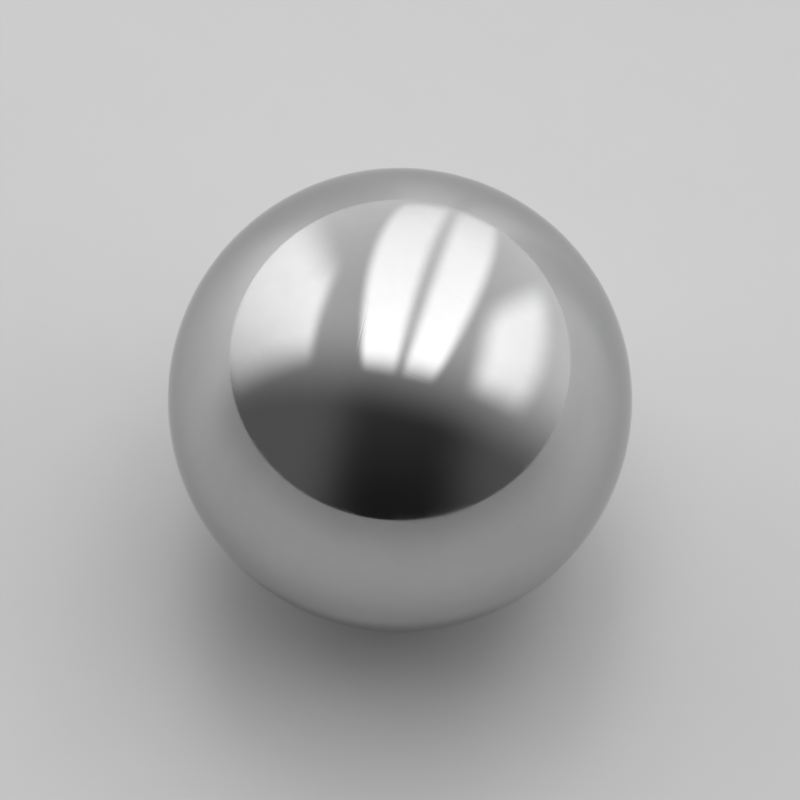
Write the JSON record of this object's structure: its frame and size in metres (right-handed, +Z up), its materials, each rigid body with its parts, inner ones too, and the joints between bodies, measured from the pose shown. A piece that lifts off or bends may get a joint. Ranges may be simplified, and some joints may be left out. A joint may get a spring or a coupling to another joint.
{
  "type": "steel ball",
  "caption": "Solid steel ball, lapped to a true sphere and polished to a mirror finish, used as a rolling element, detent, valve ball or loose weight.",
  "frame": {"origin": "centre of the ball, which is also the centre of whatever cup, race or hole holds it; the ball touches a surface that it lies on one radius below, at z = -0.004 m", "axes": "+Z up; the ball is the same in every direction, so +X and +Y are free choices"},
  "size_m": [0.008, 0.008, 0.008],
  "materials": {
    "polished_steel": "polished"
  },
  "bodies": {
    "root": {"ball": "polished_steel"}
  },
  "joints": []
}
